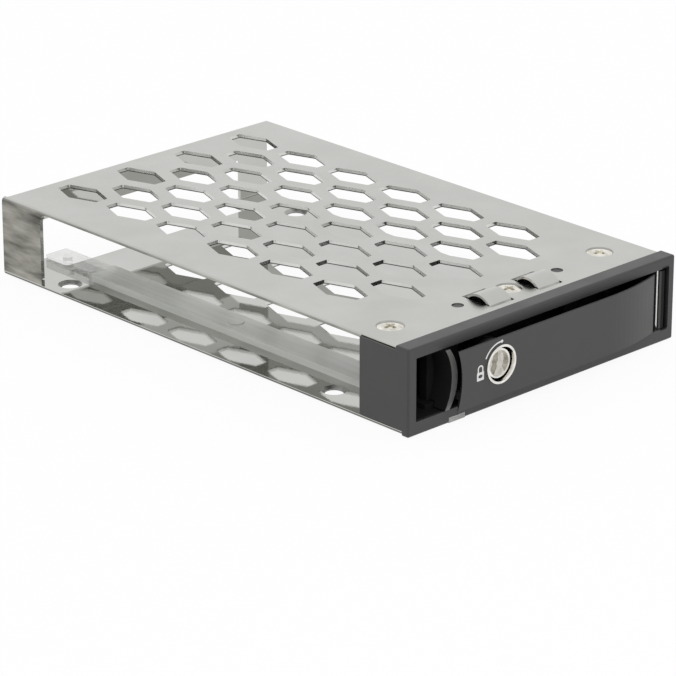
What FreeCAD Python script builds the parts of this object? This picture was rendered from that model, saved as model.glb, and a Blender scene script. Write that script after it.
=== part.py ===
"""Slide-in carrier for a 2.5-inch drive.

A folded cage with a moulded front that holds a swinging handle, a latch, a key lock and a light guide.

Frame, in mm: X to the right as seen from the front, Y to the rear, Z up.
The origin is the middle of the four drive holes, on the plane that the carrier rests on.
"""

import FreeCAD
import Part
import math
import os

# Drive: the hole pattern in its underside
drive_pitch_x = 61.72
drive_pitch_y = 76.60
drive_hole_r = 1.8

# Cage: one folded sheet, open on the right
sheet = 0.8
cage_width = 71.4
cage_length = 112.85
cage_height = 16.6
fold_r = 0.48
hole_setback = 21.3
sink_r = 2.45
sink_depth = 0.55
floor_lead = 1.6
window_edge = 0.55
rear_post = 11.9
post_corner_r = 2.0
rear_lip = 7.0
rear_leg = 7.7
leg_gap = 0.2
corner_relief = 0.25
edge_trim = 0.45
notch_depth = 6.5
notch_side = 10.95
notch_r = 1.0

# Hexagon openings in the top and bottom plates
hex_point = 3.6
hex_flat = 1.5
hex_reach = 5.95
hex_corner_r = 0.35
hex_pitch_x = 7.75
hex_pitch_y = 15.0
top_hex_columns = 7
top_hex_shift = 0.75
top_hex_rear = 9.45
top_hex_front = 20.0
bottom_hex_columns = 3
bottom_hex_shift = -0.48
bottom_hex_rear = 17.9
bottom_hex_front = 25.0

# Spring tongues and locating pegs at the front of the top plate
tongue_middle = 1.05
tongue_pitch = 13.1
tongue_width = 5.7
tongue_gap = 0.25
tongue_t = 0.45
tongue_root = 2.4
tongue_root_run = 0.9
tongue_arch_r = 3.65
tongue_arch_rise = 0.95
tongue_arch_back = 6.35
tongue_slot_end = 10.2
peg_pitch = 26.8
peg_setback = 7.55
peg_r = 1.1
peg_fit = 0.08
peg_below = 0.2

# Bezel: moulded front frame and the recess in it
bezel_overhang = 0.2
bezel_lead = 3.35
bezel_depth = 9.4
bezel_rise = 0.6
bezel_edge_r = 0.45
rim_left = 2.0
rim_right = 1.6
rim_bottom = 2.7
rim_top = 2.1
rear_wall = 2.0
flange_step = 0.1
flange_drop = 0.3
flange_gap = 0.05
fold_gap = 0.15

# Screws that hold the sheet to the bezel
screw_r = 1.25
screw_head_r = 2.5
screw_head_h = 1.25
screw_length = 6.0
screw_sink = 0.2
screw_dome = 0.18
screw_fit = 0.02
screw_inset_left = 7.1
screw_inset_right = 8.0
screw_setback = 8.8
middle_screw_setback = 7.3
boss_wall = 0.7
middle_boss_wall = 0.95
middle_boss_floor = 0.6
cross_length = 2.8
cross_width = 0.75
cross_depth = 0.9

# Handle: bowed panel, ribs, hinge barrel and hook tail
handle_clearance = 0.2
handle_top_gap = 0.45
panel_proud = 2.4
panel_thickness = 1.6
panel_chamfer = 1.2
panel_edge_r = 0.3
panel_end_r = 1.4
pocket_width = 9.4
finger_r = 16.5
finger_undercut = 1.3
bow_r = 49.5
bow_length = 15.6
barrel_r = 1.4
barrel_gap = 0.25
hinge_inset = 1.7
hinge_back = 1.5
pin_r = 0.75
pin_fit = 0.04
pin_press = 0.01
pin_bury = 1.2
slit_width = 0.62
slit_turn = 226.0
web_length = 3.0
tail_thickness = 1.6
tail_half_height = 3.4
tail_back = 2.7
tail_reach = 0.85
tail_gap = 0.5
tail_swing = 2.0
rib_depth = 2.6
rib_thickness = 1.0
rib_inset = 2.7
cross_ribs = 4

# Latch: crescent wall on a carriage that slides to the right behind the handle
latch_gap = 0.3
latch_tuck = 0.7
latch_travel = 1.0
crescent_t = 1.4
crescent_outer_r = 9.65
crescent_inner_r = 11.1
crescent_clearance = 0.3
carriage_t = 1.8
carriage_left = 3.2
slide_gap = 0.2
stop_gap = 0.05
stop_width = 1.6
ledge_back = 0.7
ledge_t = 1.1
ledge_h = 0.9
ledge_overrun = 0.8
catch_gap = 0.3
catch_nose = 0.9
catch_arm = 1.0
catch_t = 1.0
catch_play = 0.2
catch_height = 1.4
lug_inset = 1.5
lug_arm = 1.1
lug_t = 0.8
lug_back = 4.2

# Latch spring and its two seats
coil_r = 1.3
coil_wire_r = 0.2
coil_length = 6.7
coil_turns = 6
coil_seat_t = 1.2
coil_seat_half = 1.7
coil_back = 2.3
coil_stud_r = 0.8
coil_stud = 0.9

# Leaf spring that pushes the handle out
leaf_t = 0.3
leaf_half_height = 1.9
leaf_gap = 0.3
leaf_foot = 5.5
leaf_run = 9.0
leaf_hook = 2.0
leaf_curl = 0.9
leaf_bend_r = 0.8
leaf_from_boss = 3.6

# Key lock in the handle
lock_from_end = 10.0
lock_raise = 0.5
ring_r = 3.8
ring_proud = 0.3
sleeve_r = 3.6
sleeve_length = 4.6
sleeve_lip = 0.7
core_r = 3.1
core_fit = 0.05
core_recess = 0.7
core_lip = 1.0
core_edge = 0.25
groove_width = 0.25
groove_depth = 0.6
key_r = 2.4
key_hub_r = 0.7
key_bridge = 0.7
key_land = 1.6
key_depth = 0.6
lock_boss_wall = 0.5
lock_boss_depth = 2.2
sleeve_fit = 0.05
clip_width = 0.6
clip_t = 0.5
clip_opening = 1.6
cam_t = 1.0
cam_gap = 0.1
cam_hub_r = 3.0
cam_reach = 6.2
cam_width = 3.2
cam_clearance = 0.3
cam_screw_r = 1.0
cam_screw_length = 3.0
cam_screw_head_r = 1.8
cam_screw_head_t = 0.9
cam_slot_width = 0.6
cam_slot_depth = 0.4

# Light guide: clear bar on the bottom plate
guide_inset = 9.0
guide_width = 6.8
guide_t = 1.4
guide_rear_gap = 1.3
guide_tab_width = 5.6
guide_tab_length = 14.2
guide_nose_width = 4.2
guide_window = 1.05
guide_slope_start = 0.9
guide_slope_run = 1.0
guide_shoulder = 0.1
guide_lift = 0.05
guide_gap = 0.1
guide_hole_r = 1.0
guide_hole_setback = 3.8
guide_small_hole_r = 0.45
guide_small_hole_setback = 7.4
guide_small_hole_side = 0.85
guide_corner_r = 0.5
stake_r = 0.9
stake_head_r = 1.6
stake_head_h = 0.25
stake_fit = 0.05
stake_setbacks = (13.5, 56.0)

# How far a cutting shape runs past the face that it opens, and how near two points count as one
past = 1.0
same_point = 1e-6

# Places that follow from the sizes
front = -(hole_setback + drive_pitch_y / 2)
rear = front + cage_length
floor_front = front - floor_lead
side = cage_width / 2
floor_low = 0.0
floor_high = floor_low + sheet
roof_high = floor_low + cage_height
roof_low = roof_high - sheet
fold_outer_r = fold_r + sheet / 2

face = front - bezel_lead
wall_back = front + bezel_depth
cavity_back = wall_back - rear_wall
bezel_side = side + bezel_overhang
bezel_high = roof_high + bezel_rise
recess_left = rim_left - bezel_side
recess_right = bezel_side - rim_right
recess_low = rim_bottom
recess_high = bezel_high - rim_top
middle = (recess_low + recess_high) / 2

screw_y = front + screw_setback
screw_places = ((screw_inset_left - side, screw_y), (side - screw_inset_right, screw_y))
middle_screw = (tongue_middle, front + middle_screw_setback)
peg_places = [(tongue_middle + way * peg_pitch / 2, front + peg_setback) for way in (-1, 1)]
tongue_xs = [tongue_middle + way * tongue_pitch / 2 for way in (-1, 1)]

panel_front = face - panel_proud
panel_back = panel_front + panel_thickness
panel_low = recess_low + handle_clearance
panel_high = recess_high - handle_top_gap
panel_end = recess_left + pocket_width
hinge_x = recess_right - hinge_inset
hinge_y = face + hinge_back
bow_end = hinge_x - barrel_r - barrel_gap
bow_start = bow_end - bow_length
bow_turn = math.asin(bow_length / bow_r)
tail_front = hinge_y + tail_back
rib_back = panel_back + rib_depth

latch_front = panel_back + latch_gap
crescent_right = panel_end + latch_tuck
crescent_left = crescent_right - crescent_t
ledge_front = front + ledge_back - ledge_t
carriage_front = front + ledge_back + slide_gap
carriage_back = carriage_front + carriage_t
carriage_x0 = crescent_right - carriage_left
lug_x0 = panel_end + lug_inset
lug_x1 = lug_x0 + lug_arm + catch_nose
lug_rear = panel_back + lug_back
catch_x0 = lug_x1 + catch_gap
catch_x1 = catch_x0 + catch_nose + catch_arm
catch_rear = lug_rear - lug_t - catch_play
catch_low = recess_low + ledge_h + crescent_clearance
catch_high = catch_low + catch_height
coil_x0 = catch_x1
coil_x1 = coil_x0 + coil_length
coil_y = carriage_back + coil_back

lock_x = panel_end + lock_from_end
lock_z = middle + lock_raise
ring_front = panel_front - ring_proud
sleeve_back = panel_front + sleeve_length
sleeve_bore_r = core_r + core_fit
core_front = ring_front + core_recess
lock_boss_r = sleeve_r + sleeve_fit + lock_boss_wall
lock_boss_back = panel_back + lock_boss_depth
neck_r = core_r - core_lip
cam_front = sleeve_back + cam_gap
cam_back = cam_front + cam_t

guide_x0 = guide_inset - side
guide_x1 = guide_x0 + guide_width
guide_mid = (guide_x0 + guide_x1) / 2
guide_rear = rear - guide_rear_gap
guide_high = floor_high + guide_t
stake_ys = [rear - setback for setback in stake_setbacks]
guide_nose = (guide_mid - guide_nose_width / 2, guide_mid + guide_nose_width / 2)


def vec(x, y, z):
    """Return a point or direction."""
    return FreeCAD.Vector(x, y, z)


def rect(u, v, radius=0.0):
    """Return the corners of a rectangle between two limits each way, all with one radius."""
    return [(u[0], v[0], radius), (u[1], v[0], radius), (u[1], v[1], radius), (u[0], v[1], radius)]


def ribbon(points, thickness, bend_r):
    """Return the corners of a strip of even thickness along a bent middle line."""
    steps = [(b - a).normalize() for a, b in zip(points, points[1:])]
    normals = [vec(-step.y, step.x, 0) for step in steps]
    near_side, far_side = [], []
    for i, point in enumerate(points):
        before = normals[max(i - 1, 0)]
        after = normals[min(i, len(normals) - 1)]
        reach = (before + after) * (thickness / 2 / (1 + before.dot(after)))
        inner, outer = 0.0, 0.0
        if 0 < i < len(points) - 1:
            left_turn = steps[i - 1].cross(steps[i]).z > 0
            lean = -thickness / 2 if left_turn else thickness / 2
            inner, outer = bend_r + lean, bend_r - lean
        near_side.append((point.x + reach.x, point.y + reach.y, inner))
        far_side.append((point.x - reach.x, point.y - reach.y, outer))
    return near_side + far_side[::-1]


def flat_face(corners, place):
    """Return a flat face with straight sides and round corners.

    A corner is (u, v) or (u, v, radius), and place turns a flat point into one in space.
    """
    corners = [(*corner, 0.0)[:3] for corner in corners]
    points = [vec(u, v, 0) for u, v, _ in corners]
    rounds = []
    for i, (point, corner) in enumerate(zip(points, corners)):
        radius = corner[2]
        back = (points[i - 1] - point).normalize()
        ahead = (points[(i + 1) % len(points)] - point).normalize()
        half = back.getAngle(ahead) / 2
        trim = radius / math.tan(half)
        inward = (back + ahead).normalize() if radius else back
        rounds.append((point + back * trim, point + inward * (radius / math.sin(half) - radius),
                       point + ahead * trim))
    edges = []
    for i, (start, top, end) in enumerate(rounds):
        after = rounds[(i + 1) % len(rounds)][0]
        if corners[i][2]:
            edges.append(Part.Arc(place(start), place(top), place(end)).toShape())
        if (after - end).Length > same_point:
            edges.append(Part.makeLine(place(end), place(after)))
    return Part.Face(Part.Wire(edges))


def plate_x(corners, x):
    """Return a solid with a (y, z) outline between two x limits."""
    return flat_face(corners, lambda p: vec(x[0], p.x, p.y)).extrude(vec(x[1] - x[0], 0, 0))


def plate_y(corners, y):
    """Return a solid with an (x, z) outline between two y limits."""
    return flat_face(corners, lambda p: vec(p.x, y[0], p.y)).extrude(vec(0, y[1] - y[0], 0))


def plate_z(corners, z):
    """Return a solid with an (x, y) outline between two z limits."""
    return flat_face(corners, lambda p: vec(p.x, p.y, z[0])).extrude(vec(0, 0, z[1] - z[0]))


def block(x, y, z):
    """Return a box between two limits on each axis."""
    return plate_z(rect(x, y), z)


def rod_x(radius, y, z, x):
    """Return a cylinder along X between two limits."""
    return Part.makeCylinder(radius, x[1] - x[0], vec(x[0], y, z), vec(1, 0, 0))


def rod_y(radius, x, z, y):
    """Return a cylinder along Y between two limits."""
    return Part.makeCylinder(radius, y[1] - y[0], vec(x, y[0], z), vec(0, 1, 0))


def rod_z(radius, x, y, z):
    """Return a cylinder along Z between two limits."""
    return Part.makeCylinder(radius, z[1] - z[0], vec(x, y, z[0]), vec(0, 0, 1))


def one(first, *others):
    """Return one clean solid made of several that touch."""
    return first.fuse(list(others)).removeSplitter()


def hexagon(x, y, z):
    """Return a prism with the outline of one long hexagon opening."""
    corners = [(x + u, y + v, hex_corner_r) for u, v in (
        (-hex_point, 0), (-hex_flat, -hex_reach), (hex_flat, -hex_reach),
        (hex_point, 0), (hex_flat, hex_reach), (-hex_flat, hex_reach))]
    return plate_z(corners, z)


def hexagon_field(columns, shift, rear_gap, front_gap, raised, z):
    """Return the prisms of a hexagon pattern whose columns stand half a pitch apart in turn.

    Columns of the raised kind, 0 for even numbers and 1 for odd ones, start rear_gap ahead of the rear
    edge, and no hexagon has its middle nearer to the front edge than front_gap.
    """
    cells = []
    for column in range(columns):
        x = shift + (column - (columns - 1) / 2) * hex_pitch_x
        y = rear - rear_gap - (0 if column % 2 == raised else hex_pitch_y / 2)
        while y >= front + front_gap:
            cells.append(hexagon(x, y, z))
            y -= hex_pitch_y
    return cells


def screw_room(x, y, base, up):
    """Return the hole for a countersunk screw whose head is sunk a little under the plane z = base.

    up is 1 for a screw that points up and -1 for one that points down.
    """
    way = vec(0, 0, up)
    mouth_r = screw_head_r + screw_sink + screw_fit
    hole_r = screw_r + screw_fit
    head = Part.makeCone(mouth_r, hole_r, screw_head_h + screw_sink, vec(x, y, base), way)
    depth = screw_sink + screw_length + screw_fit
    return head.fuse(Part.makeCylinder(hole_r, depth, vec(x, y, base), way))


def screw(x, y, base, up):
    """Return one countersunk screw with a slightly domed head and a cross recess."""
    way = vec(0, 0, up)
    rim = base + up * screw_sink
    top = rim - up * screw_dome
    head = Part.makeCone(screw_head_r, screw_r, screw_head_h, vec(x, y, rim), way)
    shank = Part.makeCylinder(screw_r, screw_length, vec(x, y, rim), way)
    dome_r = (screw_head_r ** 2 + screw_dome ** 2) / (2 * screw_dome)
    ball = Part.makeSphere(dome_r, vec(x, y, top + up * dome_r))
    dome = ball.common(Part.makeCylinder(screw_head_r, screw_dome, vec(x, y, rim), way * -1))
    depth = sorted((top - up * past, top + up * cross_depth))
    arms = [block((x - u / 2, x + u / 2), (y - v / 2, y + v / 2), depth)
            for u, v in ((cross_length, cross_width), (cross_width, cross_length))]
    return one(head, shank, dome).cut(arms)


def drive_hole(x, y):
    """Return the space of one drive hole, countersunk from inside."""
    sink = Part.makeCone(drive_hole_r, sink_r, sink_depth, vec(x, y, floor_high - sink_depth))
    return sink.fuse(rod_z(drive_hole_r, x, y, (floor_low - past, floor_high)))


def tongue(x):
    """Return one lanced tongue: a low root and an arch that stands above the plate."""
    span = (x - tongue_width / 2, x + tongue_width / 2)
    start = front + tongue_root
    centre = (front + tongue_arch_back, roof_high + tongue_arch_rise - tongue_arch_r)
    outer = rod_x(tongue_arch_r + tongue_t, *centre, span)
    inner = rod_x(tongue_arch_r, *centre, (span[0] - past, span[1] + past))
    arch_z = (roof_low, roof_high + tongue_arch_rise + tongue_t + past)
    arch = outer.cut(inner).common(block(span, (start, front + tongue_slot_end), arch_z))
    root = block(span, (start - sheet / 2, start + tongue_root_run), (roof_low, roof_low + tongue_t))
    return one(arch, root)


def tongue_slot(x, z):
    """Return the room round one tongue between two z limits."""
    half = tongue_width / 2 + tongue_gap
    return block((x - half, x + half), (front + tongue_root, front + tongue_slot_end), z)


def make_cage():
    """Fold the sheet, then cut its windows, holes and openings."""
    half = sheet / 2
    section = [vec(side, floor_low + half, 0), vec(half - side, floor_low + half, 0),
               vec(half - side, roof_high - half, 0), vec(side, roof_high - half, 0)]
    body = plate_y(ribbon(section, sheet, fold_r), (floor_front, rear))
    wall = (-side - past, fold_outer_r - side)
    lip_high = floor_low + fold_outer_r
    window_high = roof_high - window_edge
    window = [(wall_back, lip_high), (rear - rear_post, lip_high),
              (rear - rear_post, window_high, post_corner_r), (wall_back, window_high)]
    cuts = [plate_x(window, wall)]
    cuts.append(block(wall, (front - past, wall_back), (lip_high, roof_low)))
    cuts.append(block((-side - past, edge_trim - side), (front - past, wall_back),
                      (lip_high, roof_high + past)))
    cuts.append(block((-side - past, side + past), (floor_front - past, front), (lip_high, roof_high + past)))
    cuts.append(block((fold_outer_r - side, side + past), (rear - fold_outer_r, rear + past),
                      (roof_high - fold_outer_r, roof_high + past)))
    notch = rect((notch_side - side, side - notch_side), (rear - notch_depth, rear + notch_depth), notch_r)
    cuts.append(plate_z(notch, (floor_low - past, floor_high + past)))
    body = body.cut(cuts)

    lip_line = [vec(rear - fold_outer_r, roof_high - half, 0), vec(rear - half, roof_high - half, 0),
                vec(rear - half, roof_high - rear_lip, 0)]
    lip = plate_x(ribbon(lip_line, sheet, fold_r), (fold_outer_r - side + corner_relief, side))
    leg = block((side - rear_leg, side), (rear - sheet, rear),
                (floor_high + leg_gap, roof_high - rear_lip))
    body = one(body, lip, leg)

    plate_top = (roof_low - past, roof_high + past)
    plate_bottom = (floor_low - past, floor_high + past)
    cuts = hexagon_field(top_hex_columns, top_hex_shift, top_hex_rear, top_hex_front, 0, plate_top)
    cuts += hexagon_field(bottom_hex_columns, bottom_hex_shift, bottom_hex_rear, bottom_hex_front, 1,
                          plate_bottom)
    cuts += [tongue_slot(x, plate_top) for x in tongue_xs]
    cuts += [rod_z(peg_r + peg_fit, x, y, plate_top) for x, y in peg_places]
    cuts += [screw_room(x, y, roof_high, -1) for x, y in (*screw_places, middle_screw)]
    cuts += [screw_room(x, y, floor_low, 1) for x, y in screw_places]
    cuts += [rod_z(stake_r + stake_fit, guide_mid, y, plate_bottom) for y in stake_ys]
    holes = [(u * drive_pitch_x / 2, v * drive_pitch_y / 2) for u in (-1, 1) for v in (-1, 1)]
    cuts += [drive_hole(x, y) for x, y in holes]
    body = body.cut(cuts)
    return one(body, *[tongue(x) for x in tongue_xs])


def guide_nose_outline(grow):
    """Return the (y, z) corners of the light guide's narrow front part, grown upward and ahead by a gap."""
    low = floor_high
    window = guide_lift + guide_window + grow
    slope_y = face + guide_slope_start - grow
    back = wall_back + guide_gap
    shoulder = floor_front - guide_gap - guide_shoulder
    return [(face, guide_lift), (face, window), (slope_y, window),
            (slope_y + guide_slope_run, guide_high + grow), (back, guide_high + grow), (back, low),
            (shoulder, low), (shoulder, guide_lift)]


def make_light_guide():
    """Return the clear bar with its narrow nose, rear tab and stakes."""
    nose = plate_x(guide_nose_outline(0.0), guide_nose)
    deck = (floor_high, guide_high)
    tab_front = guide_rear - guide_tab_length
    tab_x = (guide_mid - guide_tab_width / 2, guide_mid + guide_tab_width / 2)
    bar = plate_z(rect((guide_x0, guide_x1), (wall_back + guide_gap, tab_front), guide_corner_r), deck)
    tab = plate_z(rect(tab_x, (tab_front - guide_tab_width, guide_rear), guide_corner_r), deck)
    hole_z = (floor_low, guide_high + past)
    small_x = tab_x[0] + guide_small_hole_side
    holes = [rod_z(guide_hole_r, guide_mid, guide_rear - guide_hole_setback, hole_z),
             rod_z(guide_small_hole_r, small_x, guide_rear - guide_small_hole_setback, hole_z)]
    body = one(nose, bar, tab).cut(holes)
    pins = [rod_z(stake_r, guide_mid, y, (floor_low, floor_high)) for y in stake_ys]
    heads = [rod_z(stake_head_r, guide_mid, y, (guide_high, guide_high + stake_head_h)) for y in stake_ys]
    return one(body, *pins, *heads)


def make_bezel():
    """Return the front frame with its recess, flanges, bosses, pegs, latch guides and spring seats."""
    frame = block((-bezel_side, bezel_side), (face, front), (0, bezel_high))
    ahead = [edge for edge in frame.Edges if edge.BoundBox.YMin < front - past]
    frame = frame.makeFillet(bezel_edge_r, ahead)
    flange = bezel_side - flange_step
    body = block((-flange, flange), (front, wall_back), (floor_high, roof_low))
    flange_rim = block((-flange, edge_trim - side - flange_gap), (front, wall_back),
                       (roof_low, roof_high - flange_drop))
    fold_room = fold_outer_r + fold_gap
    sheet_y = (floor_front - fold_gap, wall_back + past)
    fold_space = block((-bezel_side - past, fold_room - side), sheet_y,
                       (floor_low - past, floor_low + fold_room))
    floor_space = block((-bezel_side - past, side), (sheet_y[0], front), (floor_low - past, floor_high))
    bosses = [rod_z(screw_r + boss_wall, x, y, (floor_high, roof_low)) for x, y in screw_places]
    body = one(frame, body, flange_rim, *bosses)
    recess = block((recess_left, recess_right), (face - past, cavity_back), (recess_low, recess_high))
    body = body.cut([recess, fold_space, floor_space])

    stop_x = (carriage_x0 - stop_gap - stop_width, carriage_x0 - stop_gap)
    ledge_x = (stop_x[0], catch_x1 + latch_travel + ledge_overrun)
    ledges = []
    for z in ((recess_low, recess_low + ledge_h), (recess_high - ledge_h, recess_high)):
        ledges.append(block(ledge_x, (ledge_front, front + ledge_back), z))
        ledges.append(block(ledge_x, (carriage_back + slide_gap, cavity_back), z))
        ledges.append(block(stop_x, (ledge_front, cavity_back), z))
    seat = block((coil_x1, coil_x1 + coil_seat_t), (coil_y - coil_seat_half, cavity_back),
                 (middle - coil_seat_half, middle + coil_seat_half))
    stud = rod_x(coil_stud_r, coil_y, middle, (coil_x1 - coil_stud, coil_x1))
    boss_low = roof_high - screw_length - middle_boss_floor
    middle_boss = rod_z(screw_r + middle_boss_wall, *middle_screw, (boss_low, roof_low))
    inner_bosses = [rod_z(screw_r + boss_wall, x, y, (recess_low, recess_high)) for x, y in screw_places]
    pegs = [rod_z(peg_r, x, y, (recess_high, roof_high - peg_below)) for x, y in peg_places]
    body = one(body, *ledges, seat, stud, middle_boss, *inner_bosses, *pegs)

    cuts = [tongue_slot(x, (recess_high - past, roof_low + past)) for x in tongue_xs]
    cuts += [screw_room(x, y, roof_high, -1) for x, y in (*screw_places, middle_screw)]
    cuts += [screw_room(x, y, floor_low, 1) for x, y in screw_places]
    cuts.append(rod_z(pin_r + pin_press, hinge_x, hinge_y, (recess_low - pin_bury, recess_high + pin_bury)))
    cuts.append(block((recess_right - past, bezel_side + past),
                      (tail_front - tail_gap, tail_front + tail_thickness + tail_swing),
                      (middle - tail_half_height - tail_gap, middle + tail_half_height + tail_gap)))
    cam_r = cam_reach + cam_clearance
    cam_y = (cam_front - cam_clearance, cam_back + cam_clearance)
    upper_half = block((lock_x - cam_r, lock_x + cam_r), cam_y, (lock_z, lock_z + cam_r))
    cuts.append(rod_y(cam_r, lock_x, lock_z, cam_y).common(upper_half))
    tunnel = (guide_nose[0] - guide_gap, guide_nose[1] + guide_gap)
    cuts.append(plate_x(guide_nose_outline(guide_gap), tunnel))
    cuts.append(block(tunnel, (face - past, front), (-past, guide_lift + guide_window + guide_gap)))
    return body.cut(cuts)


def bow_strip(near, far, x0, z):
    """Return a strip along the panel, between two depths behind its front, from x0 to the bow's end."""
    centre_y = panel_front + bow_r

    def on_bow(depth, turn):
        radius = bow_r - depth
        return vec(bow_start + radius * math.sin(turn), centre_y - radius * math.cos(turn), z[0])

    def straight_end(depth):
        return vec(x0, panel_front + depth, z[0])

    edges = [
        Part.makeLine(straight_end(near), on_bow(near, 0)),
        Part.Arc(on_bow(near, 0), on_bow(near, bow_turn / 2), on_bow(near, bow_turn)).toShape(),
        Part.makeLine(on_bow(near, bow_turn), on_bow(far, bow_turn)),
        Part.Arc(on_bow(far, bow_turn), on_bow(far, bow_turn / 2), on_bow(far, 0)).toShape(),
        Part.makeLine(on_bow(far, 0), straight_end(far)),
        Part.makeLine(straight_end(far), straight_end(near)),
    ]
    return Part.Face(Part.Wire(edges)).extrude(vec(0, 0, z[1] - z[0]))


def make_panel():
    """Return the bowed front panel with its chamfered back edges and its concave finger end."""
    panel = bow_strip(0, panel_thickness, panel_end - finger_r, (panel_low, panel_high))
    end_edge = [edge for edge in panel.Edges
                if edge.BoundBox.XMin > bow_end - panel_edge_r and edge.BoundBox.ZLength > panel_edge_r]
    panel = panel.makeFillet(panel_end_r, end_edge)
    level = [edge for edge in panel.Edges if edge.BoundBox.ZLength < panel_edge_r]
    behind = [edge for edge in level if edge.BoundBox.YMin > panel_back - panel_edge_r
              and edge.BoundBox.XLength > panel_thickness]
    panel = panel.makeChamfer(panel_chamfer, behind)
    finger = Part.makeCone(finger_r, finger_r + finger_undercut, panel_thickness,
                           vec(panel_end - finger_r, panel_front, middle), vec(0, 1, 0))
    ends = block((panel_end - 2 * finger_r, panel_end - finger_r),
                 (panel_front - past, panel_back + past), (panel_low - past, panel_high + past))
    return panel.cut([finger, ends])


def make_handle():
    """Return the handle: panel, ribs, lock boss, latch lug, hinge barrel and hook tail."""
    panel = make_panel()
    overlap = panel_edge_r
    ribs_x0 = lock_x + lock_boss_r + rib_thickness
    upper = (panel_high - rib_inset - rib_thickness, panel_high - rib_inset)
    lower = (panel_low + rib_inset, panel_low + rib_inset + rib_thickness)
    depth = panel_thickness + rib_depth
    ribs = [bow_strip(panel_thickness - overlap, depth, ribs_x0, z) for z in (upper, lower)]
    rib_step = (bow_start - ribs_x0) / cross_ribs
    for i in range(cross_ribs):
        x = ribs_x0 + i * rib_step
        ribs.append(block((x, x + rib_thickness), (panel_back - overlap, rib_back), (lower[0], upper[1])))

    boss = rod_y(lock_boss_r, lock_x, lock_z, (panel_back - overlap, lock_boss_back))
    lug_z = (catch_low, catch_high)
    lug = block((lug_x0, lug_x0 + lug_arm), (panel_back - overlap, lug_rear), lug_z)
    nose = block((lug_x0, lug_x1), (lug_rear - lug_t, lug_rear), lug_z)

    barrel = rod_z(barrel_r, hinge_x, hinge_y, (panel_low, panel_high))
    web_x0 = bow_end - web_length
    web = plate_z([(web_x0, hinge_y - overlap), (bow_end - barrel_gap, hinge_y + overlap / 2),
                   (hinge_x - pin_r, hinge_y + overlap), (hinge_x, hinge_y + barrel_r),
                   (bow_end - overlap, hinge_y + barrel_r + overlap), (web_x0, hinge_y + barrel_r)],
                  (panel_low + panel_chamfer, panel_high - panel_chamfer))
    tail_z = (middle - tail_half_height, middle + tail_half_height)
    tail_back_y = tail_front + tail_thickness
    tail_tip = bezel_side + tail_reach
    tail_root = barrel_r - overlap
    tail = plate_z([(hinge_x - tail_root, hinge_y + overlap), (hinge_x + tail_root, hinge_y + overlap),
                    (hinge_x + tail_root, tail_front, overlap), (tail_tip, tail_front, overlap),
                    (tail_tip, tail_back_y, overlap), (hinge_x - overlap, tail_back_y, overlap)], tail_z)
    body = one(panel, *ribs, boss, lug, nose, barrel, web, tail)

    barrel_z = (panel_low - past, panel_high + past)
    slit = block((0, barrel_r + past), (-slit_width / 2, slit_width / 2), barrel_z)
    slit.rotate(vec(0, 0, 0), vec(0, 0, 1), slit_turn)
    slit.translate(vec(hinge_x, hinge_y, 0))
    pin_hole = rod_z(pin_r + pin_fit, hinge_x, hinge_y, barrel_z)
    lock_y = (panel_front - past, lock_boss_back + past)
    return body.cut([slit, pin_hole, rod_y(sleeve_r + sleeve_fit, lock_x, lock_z, lock_y)])


def make_hinge_pin():
    """Return the pin, pressed into the bezel above and below the handle."""
    return rod_z(pin_r, hinge_x, hinge_y, (recess_low - pin_bury, recess_high + pin_bury))


def make_handle_spring():
    """Return the leaf spring: its foot on the recess's back wall, its bend near the handle's ribs."""
    foot_y = cavity_back - leaf_t / 2
    tip_y = rib_back + leaf_gap + leaf_t / 2
    tip_x = tongue_middle + screw_r + middle_boss_wall + leaf_from_boss
    line = [vec(tip_x - leaf_hook, tip_y + leaf_curl, 0), vec(tip_x, tip_y, 0),
            vec(tip_x + leaf_run, foot_y, 0), vec(tip_x + leaf_run + leaf_foot, foot_y, 0)]
    height = (middle - leaf_half_height, middle + leaf_half_height)
    return plate_z(ribbon(line, leaf_t, leaf_bend_r), height)


def make_release_latch():
    """Return the latch: crescent wall, carriage, catch arm and spring seat."""
    outer_x = crescent_right - crescent_outer_r
    inner_x = crescent_left - crescent_inner_r
    outer = rod_y(crescent_outer_r, outer_x, middle, (latch_front, carriage_front))
    inner = rod_y(crescent_inner_r, inner_x, middle, (latch_front - past, carriage_front + past))
    span = (outer_x, crescent_right + past)
    low = recess_low + crescent_clearance
    high = recess_high - crescent_clearance
    crescent = outer.cut(inner)
    ahead = crescent.common(block(span, (latch_front, ledge_front - crescent_clearance), (low, high)))
    behind = crescent.common(block(span, (ledge_front - crescent_clearance, carriage_front),
                                   (low + ledge_h, high - ledge_h)))
    carriage = block((carriage_x0, catch_x1), (carriage_front, carriage_back), (low, high))
    catch_front = catch_rear - catch_t
    catch_z = (catch_low, catch_high)
    arm = block((catch_x1 - catch_arm, catch_x1), (catch_front, carriage_front), catch_z)
    nose = block((catch_x0, catch_x1), (catch_front, catch_rear), catch_z)
    seat = block((coil_x0 - coil_seat_t, coil_x0), (carriage_back, coil_y + coil_seat_half),
                 (middle - coil_seat_half, middle + coil_seat_half))
    stud = rod_x(coil_stud_r, coil_y, middle, (coil_x0, coil_x0 + coil_stud))
    return one(carriage, ahead, behind, arm, nose, seat, stud)


def make_latch_spring():
    """Return the coil spring between the latch and its seat in the bezel."""
    length = coil_length - 2 * coil_wire_r
    helix = Part.makeHelix(length / coil_turns, length, coil_r)
    wire = Part.Wire(Part.makeCircle(coil_wire_r, vec(coil_r, 0, 0), vec(0, 1, 0)))
    coil = Part.Wire(helix).makePipeShell([wire], True, True)
    coil.rotate(vec(0, 0, 0), vec(0, 1, 0), 90)
    coil.translate(vec(coil_x0 + coil_wire_r, coil_y, middle))
    return coil


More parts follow.
